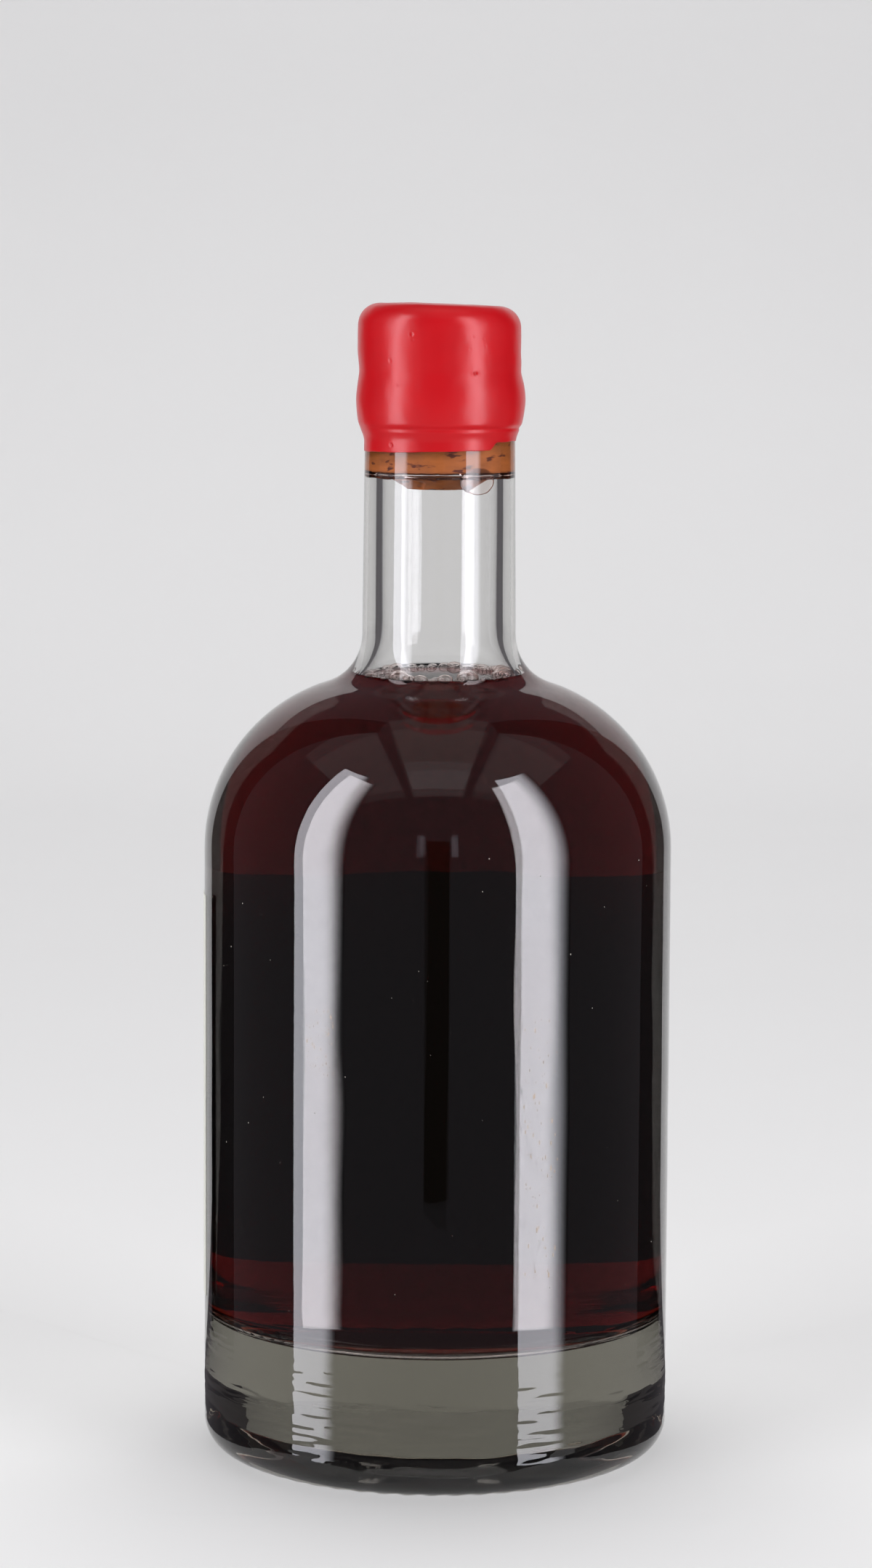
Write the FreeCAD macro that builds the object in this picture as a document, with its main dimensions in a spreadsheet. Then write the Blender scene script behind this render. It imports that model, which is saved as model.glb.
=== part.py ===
"""Wax-sealed bottle of dark wine: heavy-based glass, drink, bar-top stopper, wax seal and paper label.

Millimetres, +Z up. The origin is the middle of the foot, on the surface that the bottle stands on.
"""
import FreeCAD, Part
import math
import os
import Sketcher

# Driving sizes. Radii are measured from the bottle's axis, heights from the surface it stands on.
SIZES = {
    # glass, outside
    "body_radius": 43.1,
    "heel_radius": 5.8,
    "foot_inner_radius": 30.0,
    "punt_rise": 4.5,
    "shoulder_height": 112.4,
    "shoulder_radius": 32.0,
    "neck_fillet": 7.8,
    "neck_radius": 13.75,
    "neck_taper": 0.55,
    "lip_radius": 14.5,
    "lip_tall": 9.0,
    "lip_round": 0.6,
    "bottle_height": 199.5,
    # glass, inside
    "wall": 4.5,
    "floor_height": 25.0,
    "floor_corner": 8.0,
    "bore_radius": 10.6,
    "bore_fillet": 9.0,
    "mouth_round": 0.8,
    # knurling under the heel
    "knurl_count": 56,
    "knurl_inner_radius": 33.5,
    "knurl_outer_radius": 40.5,
    "knurl_width": 1.3,
    "knurl_slant": 36.0,
    "knurl_depth": 0.4,
    # drink; its level is measured down from where the straight bore ends
    "fill_drop": 5.1,
    # stopper
    "shank_length": 20.9,
    "shank_bevel_rise": 2.8,
    "shank_bevel_run": 4.4,
    "head_tall": 12.0,
    "head_round": 3.0,
    # wax seal
    "seal_coat": 1.0,
    "seal_waist_rise": 0.4,
    "seal_bulge_curve": 20.0,
    "seal_crease_drop": 0.7,
    "seal_skirt_tall": 4.8,
    "seal_skirt_curve": 14.0,
    "seal_rim": 0.25,
    "seal_edge_low": 0.1,
    "seal_edge_middle": 0.9,
    "seal_edge_high": 2.25,
    "seal_step_place": 9.5,
    "seal_step_run": 1.6,
    "seal_dent_radius": 3.0,
    "seal_dent_depth": 0.5,
    "seal_dent_place": 5.5,
    # label; its upper edge is measured down from where the shoulder begins
    "label_thickness": 0.15,
    "label_bottom": 29.3,
    "label_drop": 8.3,
    "label_wrap": 173.0,
    "label_turn": 17.0,
}

# Heights and radii that more than one outline is tied to.
NECK_TOP = "(sizes.bottle_height - sizes.lip_tall - (sizes.lip_radius - sizes.neck_radius))"
HEAD_RADIUS = "(sizes.lip_radius - sizes.lip_round)"
HEAD_TOP = "(sizes.bottle_height + sizes.head_tall)"
SEAL_WAIST = "(sizes.bottle_height + sizes.seal_waist_rise)"
SEAL_CREASE = "(sizes.bottle_height - sizes.lip_tall - sizes.seal_crease_drop)"
SEAL_FOOT = f"({SEAL_CREASE} - sizes.seal_skirt_tall)"

# Names that a sketch gives to its own lines and to the points of a piece.
ORIGIN = (-1, 1)
HORIZONTAL_AXIS = -1
VERTICAL_AXIS = -2
START_POINT = 1
END_POINT = 2
CENTRE_POINT = 3


def add_sheet(doc):
    """Put the driving sizes into a spreadsheet, one named cell each."""
    sheet = doc.addObject("Spreadsheet::Sheet", "sizes")
    for row, (name, value) in enumerate(SIZES.items(), start=1):
        sheet.set(f"A{row}", name)
        sheet.set(f"B{row}", str(value))
        sheet.setAlias(f"B{row}", name)
    doc.recompute()
    return sheet


def add_body(doc, label):
    """Start a body whose label is the name of its file."""
    body = doc.addObject("PartDesign::Body", label)
    body.Label = label
    body.Placement = FreeCAD.Placement()
    return body


def add_sketch(body, name, plane_role):
    """Attach a sketch to one of the body's own origin planes."""
    sketch = body.newObject("Sketcher::SketchObject", name)
    plane = next(item for item in body.Origin.OriginFeatures if item.Role == plane_role)
    sketch.AttachmentSupport = [(plane, "")]
    sketch.MapMode = "FlatFace"
    return sketch


class Outline:
    """A closed outline drawn piece by piece, with its ends and radii tied to cells of the sheet."""

    def __init__(self, sketch, start):
        self.sketch = sketch
        self.here = start
        self.pieces = []
        self.names = 0

    def bind(self, constraint, expression):
        """Add a constraint and let an expression of the sheet drive it."""
        index = self.sketch.addConstraint(constraint)
        self.names += 1
        name = f"size_{self.names}"
        self.sketch.renameConstraint(index, name)
        self.sketch.setExpression(f"Constraints.{name}", expression)

    def join(self, geometry, first, last, smooth):
        """Join a new piece to the one before it, in a corner or smoothly."""
        if self.pieces:
            before, _, end = self.pieces[-1]
            kind = "Tangent" if smooth else "Coincident"
            self.sketch.addConstraint(Sketcher.Constraint(kind, before, end, geometry, first))
        self.pieces.append((geometry, first, last))

    def line(self, end, way=None, smooth=False):
        """Draw a straight piece; way is Horizontal or Vertical where it keeps to that."""
        segment = Part.LineSegment(FreeCAD.Vector(*self.here, 0), FreeCAD.Vector(*end, 0))
        geometry = self.sketch.addGeometry(segment)
        self.join(geometry, START_POINT, END_POINT, smooth)
        if way:
            self.sketch.addConstraint(Sketcher.Constraint(way, geometry))
        self.here = end

    def arc(self, end, radius, expression, left_turn, smooth=False):
        """Draw an arc of less than half a circle that turns left or right on its way."""
        (x0, y0), (x1, y1) = self.here, end
        chord = math.hypot(x1 - x0, y1 - y0)
        side = 1 if left_turn else -1
        offset = side * math.sqrt(radius ** 2 - (chord / 2) ** 2) / chord
        centre = ((x0 + x1) / 2 - (y1 - y0) * offset, (y0 + y1) / 2 + (x1 - x0) * offset)
        begin, finish = (self.here, end) if left_turn else (end, self.here)
        angles = [math.atan2(y - centre[1], x - centre[0]) for x, y in (begin, finish)]
        if angles[1] < angles[0]:
            angles[1] += 2 * math.pi
        circle = Part.Circle(FreeCAD.Vector(*centre, 0), FreeCAD.Vector(0, 0, 1), radius)
        geometry = self.sketch.addGeometry(Part.ArcOfCircle(circle, *angles))
        first, last = (START_POINT, END_POINT) if left_turn else (END_POINT, START_POINT)
        self.join(geometry, first, last, smooth)
        if expression:
            self.bind(Sketcher.Constraint("Radius", geometry, radius), expression)
        self.here = end

    def tie(self, across=None, up=None, at_start=False):
        """Tie the last piece's end, or its start, to places given as expressions."""
        geometry, first, last = self.pieces[-1]
        end = first if at_start else last
        point = self.sketch.getPoint(geometry, end)
        if across:
            self.bind(Sketcher.Constraint("DistanceX", *ORIGIN, geometry, end, point.x), across)
        if up:
            self.bind(Sketcher.Constraint("DistanceY", *ORIGIN, geometry, end, point.y), up)

    def on_axis(self, vertical=True, at_start=False, end=None):
        """Keep the last piece's end, its start or its centre on an axis."""
        geometry, first, last = self.pieces[-1]
        if end is None:
            end = first if at_start else last
        axis = VERTICAL_AXIS if vertical else HORIZONTAL_AXIS
        self.sketch.addConstraint(Sketcher.Constraint("PointOnObject", geometry, end, axis))

    def lean_like_the_neck(self):
        """Give the last straight piece the neck's small lean from upright."""
        upright = Sketcher.Constraint("Angle", self.pieces[-1][0], math.pi / 2)
        self.bind(upright, "90 + sizes.neck_taper")

    def close(self):
        """Close the outline with a straight piece back to its start."""
        geometry, first, _ = self.pieces[0]
        start = self.sketch.getPoint(geometry, first)
        self.line((start.x, start.y))
        last = self.pieces[-1]
        self.sketch.addConstraint(Sketcher.Constraint("Coincident", last[0], last[2], geometry, first))


def revolve(body, sketch, name, angle="360"):
    """Turn a sketch about its vertical axis into a solid."""
    turned = body.newObject("PartDesign::Revolution", name)
    turned.Profile = sketch
    turned.ReferenceAxis = (sketch, ["V_Axis"])
    turned.setExpression("Angle", angle)
    return turned


def neck_top_height():
    """The height where the neck meets the bevel beneath the lip."""
    return SIZES["bottle_height"] - SIZES["lip_tall"] - (SIZES["lip_radius"] - SIZES["neck_radius"])


def seal_heights():
    """The heights of the seal's waist, of its crease and of the foot of its skirt."""
    waist = SIZES["bottle_height"] + SIZES["seal_waist_rise"]
    crease = SIZES["bottle_height"] - SIZES["lip_tall"] - SIZES["seal_crease_drop"]
    return waist, crease, crease - SIZES["seal_skirt_tall"]


def tangent_point(centre, radius, other_centre):
    """The point of a circle that faces another circle's centre."""
    across = other_centre[0] - centre[0]
    up = other_centre[1] - centre[1]
    distance = math.hypot(across, up)
    return (centre[0] + radius * across / distance, centre[1] + radius * up / distance)


def shoulder_points(neck_radius, fillet, shoulder_radius):
    """Where a shoulder arc meets the fillet above it, and where that fillet meets the neck."""
    shoulder_centre = (SIZES["body_radius"] - SIZES["shoulder_radius"], SIZES["shoulder_height"])
    across = neck_radius + fillet - shoulder_centre[0]
    rise = math.sqrt((shoulder_radius + fillet) ** 2 - across ** 2)
    fillet_centre = (neck_radius + fillet, shoulder_centre[1] + rise)
    return tangent_point(shoulder_centre, shoulder_radius, fillet_centre), (neck_radius, fillet_centre[1])


def inside_points():
    """The inner wall's points, from the foot of the bore down to the floor's corner."""
    wall_radius = SIZES["body_radius"] - SIZES["wall"]
    meet, bore_foot = shoulder_points(
        SIZES["bore_radius"], SIZES["bore_fillet"], SIZES["shoulder_radius"] - SIZES["wall"]
    )
    return {
        "bore_foot": bore_foot,
        "meet": meet,
        "wall_top": (wall_radius, SIZES["shoulder_height"]),
        "wall_foot": (wall_radius, SIZES["floor_height"] + SIZES["floor_corner"]),
        "floor_edge": (wall_radius - SIZES["floor_corner"], SIZES["floor_height"]),
    }


def draw_inside(outline):
    """Draw the inner shoulder, wall, corner and floor; the drink fits the same lines."""
    points = inside_points()
    shoulder = SIZES["shoulder_radius"] - SIZES["wall"]
    outline.arc(points["wall_top"], shoulder, "sizes.shoulder_radius - sizes.wall", False, smooth=True)
    outline.line(points["wall_foot"], way="Vertical", smooth=True)
    outline.tie(across="sizes.body_radius - sizes.wall")
    outline.tie(up="sizes.shoulder_height", at_start=True)
    outline.arc(points["floor_edge"], SIZES["floor_corner"], "sizes.floor_corner", False, smooth=True)
    outline.line((0, SIZES["floor_height"]), way="Horizontal", smooth=True)
    outline.tie(up="sizes.floor_height")
    outline.on_axis()


def draw_glass_section(sketch):
    """Half of the bottle's section: punt, foot, heel, body, shoulder, neck, lip, bore and inside."""
    s = SIZES
    punt_curve = (s["foot_inner_radius"] ** 2 + s["punt_rise"] ** 2) / (2 * s["punt_rise"])
    side_foot = (s["body_radius"], s["heel_radius"])

    outline = Outline(sketch, (0, s["punt_rise"]))
    outline.arc((s["foot_inner_radius"], 0), punt_curve, None, False)
    outline.on_axis(at_start=True)
    outline.on_axis(end=CENTRE_POINT)
    outline.tie(up="sizes.punt_rise", at_start=True)
    outline.tie(across="sizes.foot_inner_radius")
    outline.on_axis(vertical=False)

    # foot, heel and straight side
    outline.line((s["body_radius"] - s["heel_radius"], 0), way="Horizontal")
    outline.arc(side_foot, s["heel_radius"], "sizes.heel_radius", True, smooth=True)
    outline.line((s["body_radius"], s["shoulder_height"]), way="Vertical", smooth=True)
    outline.tie(across="sizes.body_radius", up="sizes.shoulder_height")

    # shoulder, fillet and slightly tapered neck
    meet, neck_foot = shoulder_points(s["neck_radius"], s["neck_fillet"], s["shoulder_radius"])
    outline.arc(meet, s["shoulder_radius"], "sizes.shoulder_radius", True, smooth=True)
    outline.arc(neck_foot, s["neck_fillet"], "sizes.neck_fillet", False, smooth=True)
    outline.line((s["neck_radius"], neck_top_height()), smooth=True)
    outline.tie(across="sizes.neck_radius", up=NECK_TOP)
    outline.lean_like_the_neck()

    # lip: bevel beneath, straight side, rounded outer and inner edges
    outline.line((s["lip_radius"], s["bottle_height"] - s["lip_tall"]))
    outline.tie(across="sizes.lip_radius", up="sizes.bottle_height - sizes.lip_tall")
    outline.line((s["lip_radius"], s["bottle_height"] - s["lip_round"]), way="Vertical")
    lip_flat = (s["lip_radius"] - s["lip_round"], s["bottle_height"])
    outline.arc(lip_flat, s["lip_round"], "sizes.lip_round", True, smooth=True)
    outline.line((s["bore_radius"] + s["mouth_round"], s["bottle_height"]), way="Horizontal", smooth=True)
    outline.tie(up="sizes.bottle_height")
    mouth_foot = (s["bore_radius"], s["bottle_height"] - s["mouth_round"])
    outline.arc(mouth_foot, s["mouth_round"], "sizes.mouth_round", True, smooth=True)

    # bore and inside
    points = inside_points()
    outline.line(points["bore_foot"], way="Vertical", smooth=True)
    outline.tie(across="sizes.bore_radius")
    outline.arc(points["meet"], s["bore_fillet"], "sizes.bore_fillet", True, smooth=True)
    draw_inside(outline)
    outline.close()


def draw_knurl_groove(sketch):
    """One slanted groove of the foot, seen from above, astride the X axis."""
    s = SIZES
    half_reach = (s["knurl_outer_radius"] - s["knurl_inner_radius"]) / 2
    half_shift = half_reach * math.tan(math.radians(s["knurl_slant"]))
    half_width = s["knurl_width"] / 2
    shift = "(sizes.knurl_outer_radius - sizes.knurl_inner_radius) * tan(sizes.knurl_slant) / 2"
    corners = [
        ("inner", -half_shift - half_width, f"-{shift} - sizes.knurl_width / 2"),
        ("outer", half_shift - half_width, f"{shift} - sizes.knurl_width / 2"),
        ("outer", half_shift + half_width, f"{shift} + sizes.knurl_width / 2"),
        ("inner", -half_shift + half_width, f"-{shift} + sizes.knurl_width / 2"),
    ]
    places = [(s[f"knurl_{reach}_radius"], up) for reach, up, _ in corners]
    outline = Outline(sketch, places[-1])
    for (reach, _, expression), place in zip(corners, places):
        outline.line(place)
        outline.tie(across=f"sizes.knurl_{reach}_radius", up=expression)
    first, last = outline.pieces[0], outline.pieces[-1]
    sketch.addConstraint(Sketcher.Constraint("Coincident", last[0], last[2], first[0], first[1]))


def make_bottle(doc):
    """Thick blown glass with a heavy base, a shallow punt and a knurled bearing ring."""
    body = add_body(doc, "bottle")
    section = add_sketch(body, "glass_section", "XZ_Plane")
    draw_glass_section(section)
    revolve(body, section, "blown_glass")
    doc.recompute()
    smooth_volume = body.Shape.Volume

    groove_sketch = add_sketch(body, "knurl_groove", "XY_Plane")
    draw_knurl_groove(groove_sketch)
    groove = body.newObject("PartDesign::Pocket", "knurl_cut")
    groove.Profile = groove_sketch
    groove.Reversed = True
    groove.setExpression("Length", "sizes.knurl_depth")
    doc.recompute()

    ring = body.newObject("PartDesign::PolarPattern", "knurled_foot")
    ring.Originals = [groove]
    ring.Axis = (groove_sketch, ["N_Axis"])
    ring.Angle = 360
    ring.setExpression("Occurrences", "sizes.knurl_count")
    body.Tip = ring
    doc.recompute()
    check_cut("knurled foot", smooth_volume, body.Shape.Volume)
    return body


def make_wine(doc):
    """The drink, face to face with the glass from the floor up to its level in the shoulder."""
    s = SIZES
    body = add_body(doc, "wine")
    sketch = add_sketch(body, "drink_section", "XZ_Plane")
    points = inside_points()
    fillet_centre = (points["bore_foot"][0] + s["bore_fillet"], points["bore_foot"][1])
    level = fillet_centre[1] - s["fill_drop"]
    surface_radius = fillet_centre[0] - math.sqrt(s["bore_fillet"] ** 2 - s["fill_drop"] ** 2)

    outline = Outline(sketch, (0, level))
    outline.line((surface_radius, level), way="Horizontal")
    outline.on_axis(at_start=True)
    outline.arc(points["meet"], s["bore_fillet"], "sizes.bore_fillet", True)
    fillet, surface_edge, _ = outline.pieces[-1]
    outline.bind(
        Sketcher.Constraint("DistanceX", *ORIGIN, fillet, CENTRE_POINT, fillet_centre[0]),
        "sizes.bore_radius + sizes.bore_fillet",
    )
    outline.bind(
        Sketcher.Constraint("DistanceY", fillet, surface_edge, fillet, CENTRE_POINT, s["fill_drop"]),
        "sizes.fill_drop",
    )
    draw_inside(outline)
    outline.close()
    revolve(body, sketch, "drink")
    return body


def make_stopper(doc):
    """Bar-top stopper: a bevelled cork shank in the bore and a head that rests on the lip."""
    s = SIZES
    body = add_body(doc, "stopper")
    sketch = add_sketch(body, "stopper_section", "XZ_Plane")
    shank_foot = s["bottle_height"] - s["shank_length"]
    head_radius = s["lip_radius"] - s["lip_round"]
    head_top = s["bottle_height"] + s["head_tall"]

    outline = Outline(sketch, (0, shank_foot))
    outline.line((s["bore_radius"] - s["shank_bevel_run"], shank_foot), way="Horizontal")
    outline.on_axis(at_start=True)
    outline.tie(
        across="sizes.bore_radius - sizes.shank_bevel_run",
        up="sizes.bottle_height - sizes.shank_length",
    )
    outline.line((s["bore_radius"], shank_foot + s["shank_bevel_rise"]))
    outline.tie(
        across="sizes.bore_radius",
        up="sizes.bottle_height - sizes.shank_length + sizes.shank_bevel_rise",
    )
    outline.line((s["bore_radius"], s["bottle_height"]), way="Vertical")
    outline.tie(up="sizes.bottle_height")
    outline.line((head_radius, s["bottle_height"]), way="Horizontal")
    outline.line((head_radius, head_top - s["head_round"]), way="Vertical")
    outline.tie(across=HEAD_RADIUS)
    crown_edge = (head_radius - s["head_round"], head_top)
    outline.arc(crown_edge, s["head_round"], "sizes.head_round", True, smooth=True)
    outline.line((0, head_top), way="Horizontal", smooth=True)
    outline.tie(up=HEAD_TOP)
    outline.on_axis()
    outline.close()
    revolve(body, sketch, "cork_and_head")
    return body


def draw_seal_section(sketch):
    """Half of the wax coat's section: its outer line downwards, then back up along what it covers."""
    s = SIZES
    head_radius = s["lip_radius"] - s["lip_round"]
    head_top = s["bottle_height"] + s["head_tall"]
    seal_radius = head_radius + s["seal_coat"]
    seal_top = head_top + s["seal_coat"]
    corner = s["head_round"] + s["seal_coat"]
    waist, crease, foot = seal_heights()
    lean = math.tan(math.radians(s["neck_taper"]))
    neck_at_rim = s["neck_radius"] + (neck_top_height() - foot) * lean

    # crown and upper side, over the stopper's head
    outline = Outline(sketch, (0, seal_top))
    outline.line((seal_radius - corner, seal_top), way="Horizontal")
    outline.on_axis(at_start=True)
    outline.tie(up=f"{HEAD_TOP} + sizes.seal_coat")
    corner_foot = (seal_radius, seal_top - corner)
    outline.arc(corner_foot, corner, "sizes.head_round + sizes.seal_coat", False, smooth=True)
    outline.line((seal_radius, waist), way="Vertical", smooth=True)
    outline.tie(across=f"{HEAD_RADIUS} + sizes.seal_coat", up=SEAL_WAIST)

    # bulge over the glass lip, crease beneath it and skirt down to a thin rim
    outline.arc((seal_radius, crease), s["seal_bulge_curve"], "sizes.seal_bulge_curve", False)
    outline.tie(across=f"{HEAD_RADIUS} + sizes.seal_coat", up=SEAL_CREASE)
    skirt_foot = (neck_at_rim + s["seal_rim"], foot)
    outline.arc(skirt_foot, s["seal_skirt_curve"], "sizes.seal_skirt_curve", True)
    outline.tie(up=SEAL_FOOT)
    outline.line((neck_at_rim, foot), way="Horizontal")
    rim = outline.pieces[-1]
    outline.bind(
        Sketcher.Constraint("DistanceX", rim[0], rim[2], rim[0], rim[1], s["seal_rim"]),
        "sizes.seal_rim",
    )

    # back up along the neck, the lip and the stopper's head
    outline.line((s["neck_radius"], neck_top_height()))
    outline.tie(across="sizes.neck_radius", up=NECK_TOP)
    outline.lean_like_the_neck()
    outline.line((s["lip_radius"], s["bottle_height"] - s["lip_tall"]))
    outline.tie(across="sizes.lip_radius", up="sizes.bottle_height - sizes.lip_tall")
    outline.line((s["lip_radius"], s["bottle_height"] - s["lip_round"]), way="Vertical")
    outline.tie(up="sizes.bottle_height - sizes.lip_round")
    outline.arc((head_radius, s["bottle_height"]), s["lip_round"], "sizes.lip_round", True, smooth=True)
    outline.tie(across=HEAD_RADIUS)
    outline.line((head_radius, head_top - s["head_round"]), way="Vertical")
    crown_edge = (head_radius - s["head_round"], head_top)
    outline.arc(crown_edge, s["head_round"], "sizes.head_round", True, smooth=True)
    outline.line((0, head_top), way="Horizontal", smooth=True)
    outline.tie(up=HEAD_TOP)
    outline.on_axis()
    outline.close()


def draw_seal_edge(sketch):
    """What the uneven dip line leaves away: a slanting edge with one step, seen from the front."""
    s = SIZES
    reach = 2 * s["lip_radius"]
    foot = seal_heights()[-1]
    below = foot - s["seal_coat"]
    low, middle, high = (foot + s[f"seal_edge_{place}"] for place in ("low", "middle", "high"))
    step_end = s["seal_step_place"] + s["seal_step_run"]
    outline = Outline(sketch, (-reach, below))
    outline.line((reach, below), way="Horizontal")
    outline.tie(across="2 * sizes.lip_radius", up=f"{SEAL_FOOT} - sizes.seal_coat")
    outline.tie(across="-2 * sizes.lip_radius", at_start=True)
    outline.line((reach, high), way="Vertical")
    outline.tie(up=f"{SEAL_FOOT} + sizes.seal_edge_high")
    outline.line((step_end, high), way="Horizontal")
    outline.tie(across="sizes.seal_step_place + sizes.seal_step_run")
    outline.line((s["seal_step_place"], middle))
    outline.tie(across="sizes.seal_step_place", up=f"{SEAL_FOOT} + sizes.seal_edge_middle")
    outline.line((-reach, low))
    outline.tie(up=f"{SEAL_FOOT} + sizes.seal_edge_low")
    outline.tie(across="-2 * sizes.lip_radius")
    outline.close()


def make_wax_seal(doc):
    """Wax coat dipped over the stopper's head, the lip and the top of the neck."""
    body = add_body(doc, "wax_seal")
    section = add_sketch(body, "seal_section", "XZ_Plane")
    draw_seal_section(section)
    revolve(body, section, "dipped_coat")
    doc.recompute()
    whole = body.Shape.Volume

    edge_sketch = add_sketch(body, "dip_line", "XZ_Plane")
    draw_seal_edge(edge_sketch)
    edge = body.newObject("PartDesign::Pocket", "uneven_edge")
    edge.Profile = edge_sketch
    edge.Midplane = True
    edge.Type = "ThroughAll"
    doc.recompute()
    trimmed = body.Shape.Volume
    check_cut("uneven edge of the seal", whole, trimmed)

    dent = body.newObject("PartDesign::SubtractiveSphere", "crown_dent")
    dent.setExpression("Radius", "sizes.seal_dent_radius")
    plane = next(item for item in body.Origin.OriginFeatures if item.Role == "XY_Plane")
    dent.AttachmentSupport = [(plane, "")]
    dent.MapMode = "FlatFace"
    dent.setExpression("AttachmentOffset.Base.x", "-sizes.seal_dent_place")
    dent_centre = f"{HEAD_TOP} + sizes.seal_coat + sizes.seal_dent_radius - sizes.seal_dent_depth"
    dent.setExpression("AttachmentOffset.Base.z", dent_centre)
    doc.recompute()
    check_cut("dent in the seal", trimmed, body.Shape.Volume)
    return body


def make_label(doc):
    """Thin paper glued round the back, from just behind one side to just before the other."""
    s = SIZES
    body = add_body(doc, "label")
    sketch = add_sketch(body, "paper_section", "XZ_Plane")
    outer = s["body_radius"] + s["label_thickness"]
    top = s["shoulder_height"] - s["label_drop"]
    outline = Outline(sketch, (s["body_radius"], s["label_bottom"]))
    outline.line((outer, s["label_bottom"]), way="Horizontal")
    outline.tie(across="sizes.body_radius", up="sizes.label_bottom", at_start=True)
    outline.tie(across="sizes.body_radius + sizes.label_thickness")
    outline.line((outer, top), way="Vertical")
    outline.tie(up="sizes.shoulder_height - sizes.label_drop")
    outline.line((s["body_radius"], top), way="Horizontal")
    outline.tie(across="sizes.body_radius")
    outline.close()
    revolve(body, sketch, "glued_paper", "sizes.label_wrap")
    body.Placement = FreeCAD.Placement(FreeCAD.Vector(), FreeCAD.Rotation(FreeCAD.Vector(0, 0, 1), 1))
    body.setExpression("Placement.Rotation.Angle", "sizes.label_turn")
    return body


def check_cut(name, before, after):
    """A cut that points away from its solid removes nothing, so the volumes are compared."""
    if after >= before:
        raise RuntimeError(f"{name} removed nothing: {before:.1f} to {after:.1f} mm3")


def check_document(doc, bodies):
    """Stop if any object failed, or a sub-part has no valid solid."""
    for item in doc.Objects:
        if "Invalid" in item.State or "Error" in item.State:
            raise RuntimeError(f"{item.Label} failed: {item.State}")
    for body in bodies:
        shape = body.Shape
        if shape.isNull() or not shape.isValid() or len(shape.Solids) != 1:
            raise RuntimeError(f"{body.Label} isn't one valid solid")


def main():
    """Build the document and write each sub-part to its own STEP file."""
    doc = FreeCAD.newDocument("wax_sealed_bottle")
    add_sheet(doc)
    makers = (make_bottle, make_wine, make_stopper, make_wax_seal, make_label)
    bodies = [maker(doc) for maker in makers]
    doc.recompute()
    check_document(doc, bodies)
    os.makedirs("parts", exist_ok=True)
    for body in bodies:
        body.Shape.exportStep(f"parts/{body.Label}.step")
        print(f"{body.Label}: {body.Shape.Volume / 1000:.1f} cm3")


main()
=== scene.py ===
"""Wax-sealed bottle of dark wine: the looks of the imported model, piece by piece."""

import math
from functools import partial

import bpy
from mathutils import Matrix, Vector, noise


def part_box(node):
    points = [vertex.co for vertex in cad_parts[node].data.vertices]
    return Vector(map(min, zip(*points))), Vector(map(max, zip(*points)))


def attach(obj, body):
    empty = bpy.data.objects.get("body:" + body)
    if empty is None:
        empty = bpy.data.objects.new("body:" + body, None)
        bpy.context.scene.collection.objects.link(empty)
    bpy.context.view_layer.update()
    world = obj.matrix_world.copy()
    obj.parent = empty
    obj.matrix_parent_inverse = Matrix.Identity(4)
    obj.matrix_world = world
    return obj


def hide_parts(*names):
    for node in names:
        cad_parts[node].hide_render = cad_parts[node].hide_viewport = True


bl_info = {
    "name": "Wax-sealed wine bottle",
    "version": (1, 0, 0),
    "blender": (4, 5, 0),
    "location": "3D View > Sidebar > Bottle",
    "description": "Builds the bottle, its drink, cork, wax seal, label and studio",
    "category": "Add Mesh",
}

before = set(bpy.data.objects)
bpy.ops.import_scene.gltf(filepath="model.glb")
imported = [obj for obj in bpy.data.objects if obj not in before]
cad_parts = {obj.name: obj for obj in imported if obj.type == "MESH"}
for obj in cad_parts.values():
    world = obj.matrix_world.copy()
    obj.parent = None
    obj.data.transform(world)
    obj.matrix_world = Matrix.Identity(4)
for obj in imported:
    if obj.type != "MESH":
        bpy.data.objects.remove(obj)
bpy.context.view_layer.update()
GLASS_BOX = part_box("bottle")
DRINK_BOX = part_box("wine")
CORK_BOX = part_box("stopper")
SEAL_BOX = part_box("wax_seal")
LABEL_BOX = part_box("label")

MM = 0.001
FULL_TURN = 2 * math.pi
SEGMENTS_PER_GROOVE = 5

# the numbers that each point of a turned outline may carry
OUTLINE_NUMBERS = ("slant", "groove", "ripple", "chill")


# ---------------------------------------------------------------- settings


def length(name, description, millimetres):
    """A length setting whose default is written in millimetres."""
    return bpy.props.FloatProperty(
        name=name, description=description, default=millimetres * MM, unit="LENGTH", precision=5
    )


def tilt(name, description, degrees):
    """An angle setting whose default is written in degrees."""
    return bpy.props.FloatProperty(
        name=name, description=description, default=math.radians(degrees), subtype="ANGLE"
    )


def shade(name, description, text):
    """A colour setting whose default is written as sRGB hex."""
    return bpy.props.FloatVectorProperty(
        name=name, description=description, default=colour(text)[:3], subtype="COLOR", min=0, max=1
    )


def colour(text):
    """A colour written as sRGB hex, turned linear."""
    parts = [int(text[place : place + 2], 16) / 255 for place in (1, 3, 5)]
    linear = [p / 12.92 if p <= 0.04045 else ((p + 0.055) / 1.055) ** 2.4 for p in parts]
    return (*linear, 1.0)


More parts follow.
